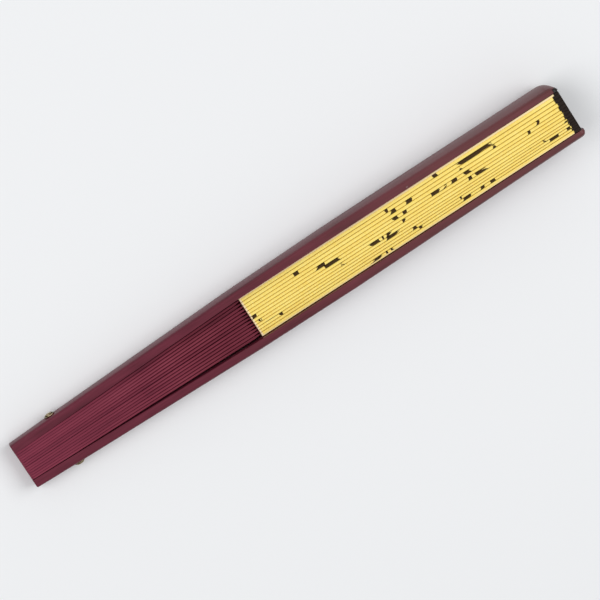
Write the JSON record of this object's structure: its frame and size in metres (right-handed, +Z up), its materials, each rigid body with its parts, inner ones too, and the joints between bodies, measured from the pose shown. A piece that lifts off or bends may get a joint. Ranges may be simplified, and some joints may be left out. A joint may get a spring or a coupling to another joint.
{
  "type": "folding hand fan",
  "caption": "Folding hand fan with a pleated gold paper leaf on stained bamboo sticks that turn on one brass rivet, closed and lying on its edge.",
  "frame": {"origin": "centre of the closed fan's bounding box, on the surface that its lower edges lie on", "axes": "+X from the tail past the rivet to the head, +Y along the rivet from the rear guard to the front guard, +Z up from the edge that the fan lies on"},
  "size_m": [0.33, 0.0348, 0.029],
  "materials": {
    "guard_bamboo": "bamboo stained burgundy, planed smooth and satin lacquered, greyer along its rounded outer face",
    "stick_bamboo": "thin bamboo slats stained burgundy, satin, with fine lengthwise grain",
    "leaf_paper": "matte gold-yellow paper, pleated, with dark brown printed strokes and a black paper binding along its outer edge",
    "rivet_brass": "turned brass, lightly dulled"
  },
  "bodies": {
    "rear_guard": {"guard_rear": "guard_bamboo", "leaf_end_rear": "leaf_paper", "pivot_pin": "rivet_brass", "washer_rear": "rivet_brass", "washer_front": "rivet_brass"},
    "front_guard": {"guard_front": "guard_bamboo", "leaf_end_front": "leaf_paper"},
    "free_pleat_00": {"leaf_fold_00": "leaf_paper"},
    "inner_stick_01": {"stick_01": "stick_bamboo", "leaf_pocket_01": "leaf_paper"},
    "free_pleat_01": {"leaf_fold_01": "leaf_paper"},
    "inner_stick_02": {"stick_02": "stick_bamboo", "leaf_pocket_02": "leaf_paper"},
    "free_pleat_02": {"leaf_fold_02": "leaf_paper"},
    "inner_stick_03": {"stick_03": "stick_bamboo", "leaf_pocket_03": "leaf_paper"},
    "free_pleat_03": {"leaf_fold_03": "leaf_paper"},
    "inner_stick_04": {"stick_04": "stick_bamboo", "leaf_pocket_04": "leaf_paper"},
    "free_pleat_04": {"leaf_fold_04": "leaf_paper"},
    "inner_stick_05": {"stick_05": "stick_bamboo", "leaf_pocket_05": "leaf_paper"},
    "free_pleat_05": {"leaf_fold_05": "leaf_paper"},
    "inner_stick_06": {"stick_06": "stick_bamboo", "leaf_pocket_06": "leaf_paper"},
    "free_pleat_06": {"leaf_fold_06": "leaf_paper"},
    "inner_stick_07": {"stick_07": "stick_bamboo", "leaf_pocket_07": "leaf_paper"},
    "free_pleat_07": {"leaf_fold_07": "leaf_paper"},
    "inner_stick_08": {"stick_08": "stick_bamboo", "leaf_pocket_08": "leaf_paper"},
    "free_pleat_08": {"leaf_fold_08": "leaf_paper"},
    "inner_stick_09": {"stick_09": "stick_bamboo", "leaf_pocket_09": "leaf_paper"},
    "free_pleat_09": {"leaf_fold_09": "leaf_paper"},
    "inner_stick_10": {"stick_10": "stick_bamboo", "leaf_pocket_10": "leaf_paper"},
    "free_pleat_10": {"leaf_fold_10": "leaf_paper"},
    "inner_stick_11": {"stick_11": "stick_bamboo", "leaf_pocket_11": "leaf_paper"},
    "free_pleat_11": {"leaf_fold_11": "leaf_paper"},
    "inner_stick_12": {"stick_12": "stick_bamboo", "leaf_pocket_12": "leaf_paper"},
    "free_pleat_12": {"leaf_fold_12": "leaf_paper"},
    "inner_stick_13": {"stick_13": "stick_bamboo", "leaf_pocket_13": "leaf_paper"},
    "free_pleat_13": {"leaf_fold_13": "leaf_paper"}
  },
  "joints": [
    {"name": "fan_open", "type": "hinge", "parent": "rear_guard", "child": "front_guard", "pos_m": [-0.14, 0, 0.00665], "axis": [0, -1, 0], "range_deg": [0, 150]},
    {"name": "free_pleat_00_turn", "type": "hinge", "parent": "rear_guard", "child": "free_pleat_00", "pos_m": [-0.14, 0, 0.00665], "axis": [0, -1, 0], "range_deg": [0, 5.36]},
    {"name": "inner_stick_01_turn", "type": "hinge", "parent": "rear_guard", "child": "inner_stick_01", "pos_m": [-0.14, 0, 0.00665], "axis": [0, -1, 0], "range_deg": [0, 10.71]},
    {"name": "free_pleat_01_turn", "type": "hinge", "parent": "rear_guard", "child": "free_pleat_01", "pos_m": [-0.14, 0, 0.00665], "axis": [0, -1, 0], "range_deg": [0, 16.07]},
    {"name": "inner_stick_02_turn", "type": "hinge", "parent": "rear_guard", "child": "inner_stick_02", "pos_m": [-0.14, 0, 0.00665], "axis": [0, -1, 0], "range_deg": [0, 21.43]},
    {"name": "free_pleat_02_turn", "type": "hinge", "parent": "rear_guard", "child": "free_pleat_02", "pos_m": [-0.14, 0, 0.00665], "axis": [0, -1, 0], "range_deg": [0, 26.79]},
    {"name": "inner_stick_03_turn", "type": "hinge", "parent": "rear_guard", "child": "inner_stick_03", "pos_m": [-0.14, 0, 0.00665], "axis": [0, -1, 0], "range_deg": [0, 32.14]},
    {"name": "free_pleat_03_turn", "type": "hinge", "parent": "rear_guard", "child": "free_pleat_03", "pos_m": [-0.14, 0, 0.00665], "axis": [0, -1, 0], "range_deg": [0, 37.5]},
    {"name": "inner_stick_04_turn", "type": "hinge", "parent": "rear_guard", "child": "inner_stick_04", "pos_m": [-0.14, 0, 0.00665], "axis": [0, -1, 0], "range_deg": [0, 42.86]},
    {"name": "free_pleat_04_turn", "type": "hinge", "parent": "rear_guard", "child": "free_pleat_04", "pos_m": [-0.14, 0, 0.00665], "axis": [0, -1, 0], "range_deg": [0, 48.21]},
    {"name": "inner_stick_05_turn", "type": "hinge", "parent": "rear_guard", "child": "inner_stick_05", "pos_m": [-0.14, 0, 0.00665], "axis": [0, -1, 0], "range_deg": [0, 53.57]},
    {"name": "free_pleat_05_turn", "type": "hinge", "parent": "rear_guard", "child": "free_pleat_05", "pos_m": [-0.14, 0, 0.00665], "axis": [0, -1, 0], "range_deg": [0, 58.93]},
    {"name": "inner_stick_06_turn", "type": "hinge", "parent": "rear_guard", "child": "inner_stick_06", "pos_m": [-0.14, 0, 0.00665], "axis": [0, -1, 0], "range_deg": [0, 64.29]},
    {"name": "free_pleat_06_turn", "type": "hinge", "parent": "rear_guard", "child": "free_pleat_06", "pos_m": [-0.14, 0, 0.00665], "axis": [0, -1, 0], "range_deg": [0, 69.64]},
    {"name": "inner_stick_07_turn", "type": "hinge", "parent": "rear_guard", "child": "inner_stick_07", "pos_m": [-0.14, 0, 0.00665], "axis": [0, -1, 0], "range_deg": [0, 75]},
    {"name": "free_pleat_07_turn", "type": "hinge", "parent": "rear_guard", "child": "free_pleat_07", "pos_m": [-0.14, 0, 0.00665], "axis": [0, -1, 0], "range_deg": [0, 80.36]},
    {"name": "inner_stick_08_turn", "type": "hinge", "parent": "rear_guard", "child": "inner_stick_08", "pos_m": [-0.14, 0, 0.00665], "axis": [0, -1, 0], "range_deg": [0, 85.71]},
    {"name": "free_pleat_08_turn", "type": "hinge", "parent": "rear_guard", "child": "free_pleat_08", "pos_m": [-0.14, 0, 0.00665], "axis": [0, -1, 0], "range_deg": [0, 91.07]},
    {"name": "inner_stick_09_turn", "type": "hinge", "parent": "rear_guard", "child": "inner_stick_09", "pos_m": [-0.14, 0, 0.00665], "axis": [0, -1, 0], "range_deg": [0, 96.43]},
    {"name": "free_pleat_09_turn", "type": "hinge", "parent": "rear_guard", "child": "free_pleat_09", "pos_m": [-0.14, 0, 0.00665], "axis": [0, -1, 0], "range_deg": [0, 101.79]},
    {"name": "inner_stick_10_turn", "type": "hinge", "parent": "rear_guard", "child": "inner_stick_10", "pos_m": [-0.14, 0, 0.00665], "axis": [0, -1, 0], "range_deg": [0, 107.14]},
    {"name": "free_pleat_10_turn", "type": "hinge", "parent": "rear_guard", "child": "free_pleat_10", "pos_m": [-0.14, 0, 0.00665], "axis": [0, -1, 0], "range_deg": [0, 112.5]},
    {"name": "inner_stick_11_turn", "type": "hinge", "parent": "rear_guard", "child": "inner_stick_11", "pos_m": [-0.14, 0, 0.00665], "axis": [0, -1, 0], "range_deg": [0, 117.86]},
    {"name": "free_pleat_11_turn", "type": "hinge", "parent": "rear_guard", "child": "free_pleat_11", "pos_m": [-0.14, 0, 0.00665], "axis": [0, -1, 0], "range_deg": [0, 123.21]},
    {"name": "inner_stick_12_turn", "type": "hinge", "parent": "rear_guard", "child": "inner_stick_12", "pos_m": [-0.14, 0, 0.00665], "axis": [0, -1, 0], "range_deg": [0, 128.57]},
    {"name": "free_pleat_12_turn", "type": "hinge", "parent": "rear_guard", "child": "free_pleat_12", "pos_m": [-0.14, 0, 0.00665], "axis": [0, -1, 0], "range_deg": [0, 133.93]},
    {"name": "inner_stick_13_turn", "type": "hinge", "parent": "rear_guard", "child": "inner_stick_13", "pos_m": [-0.14, 0, 0.00665], "axis": [0, -1, 0], "range_deg": [0, 139.29]},
    {"name": "free_pleat_13_turn", "type": "hinge", "parent": "rear_guard", "child": "free_pleat_13", "pos_m": [-0.14, 0, 0.00665], "axis": [0, -1, 0], "range_deg": [0, 144.64]}
  ],
  "couplings": [
    {"joint": "free_pleat_00_turn", "follows": "fan_open", "ratio": 0.035714},
    {"joint": "inner_stick_01_turn", "follows": "fan_open", "ratio": 0.071429},
    {"joint": "free_pleat_01_turn", "follows": "fan_open", "ratio": 0.10714},
    {"joint": "inner_stick_02_turn", "follows": "fan_open", "ratio": 0.14286},
    {"joint": "free_pleat_02_turn", "follows": "fan_open", "ratio": 0.17857},
    {"joint": "inner_stick_03_turn", "follows": "fan_open", "ratio": 0.21429},
    {"joint": "free_pleat_03_turn", "follows": "fan_open", "ratio": 0.25},
    {"joint": "inner_stick_04_turn", "follows": "fan_open", "ratio": 0.28571},
    {"joint": "free_pleat_04_turn", "follows": "fan_open", "ratio": 0.32143},
    {"joint": "inner_stick_05_turn", "follows": "fan_open", "ratio": 0.35714},
    {"joint": "free_pleat_05_turn", "follows": "fan_open", "ratio": 0.39286},
    {"joint": "inner_stick_06_turn", "follows": "fan_open", "ratio": 0.42857},
    {"joint": "free_pleat_06_turn", "follows": "fan_open", "ratio": 0.46429},
    {"joint": "inner_stick_07_turn", "follows": "fan_open", "ratio": 0.5},
    {"joint": "free_pleat_07_turn", "follows": "fan_open", "ratio": 0.53571},
    {"joint": "inner_stick_08_turn", "follows": "fan_open", "ratio": 0.57143},
    {"joint": "free_pleat_08_turn", "follows": "fan_open", "ratio": 0.60714},
    {"joint": "inner_stick_09_turn", "follows": "fan_open", "ratio": 0.64286},
    {"joint": "free_pleat_09_turn", "follows": "fan_open", "ratio": 0.67857},
    {"joint": "inner_stick_10_turn", "follows": "fan_open", "ratio": 0.71429},
    {"joint": "free_pleat_10_turn", "follows": "fan_open", "ratio": 0.75},
    {"joint": "inner_stick_11_turn", "follows": "fan_open", "ratio": 0.78571},
    {"joint": "free_pleat_11_turn", "follows": "fan_open", "ratio": 0.82143},
    {"joint": "inner_stick_12_turn", "follows": "fan_open", "ratio": 0.85714},
    {"joint": "free_pleat_12_turn", "follows": "fan_open", "ratio": 0.89286},
    {"joint": "inner_stick_13_turn", "follows": "fan_open", "ratio": 0.92857},
    {"joint": "free_pleat_13_turn", "follows": "fan_open", "ratio": 0.96429}
  ]
}
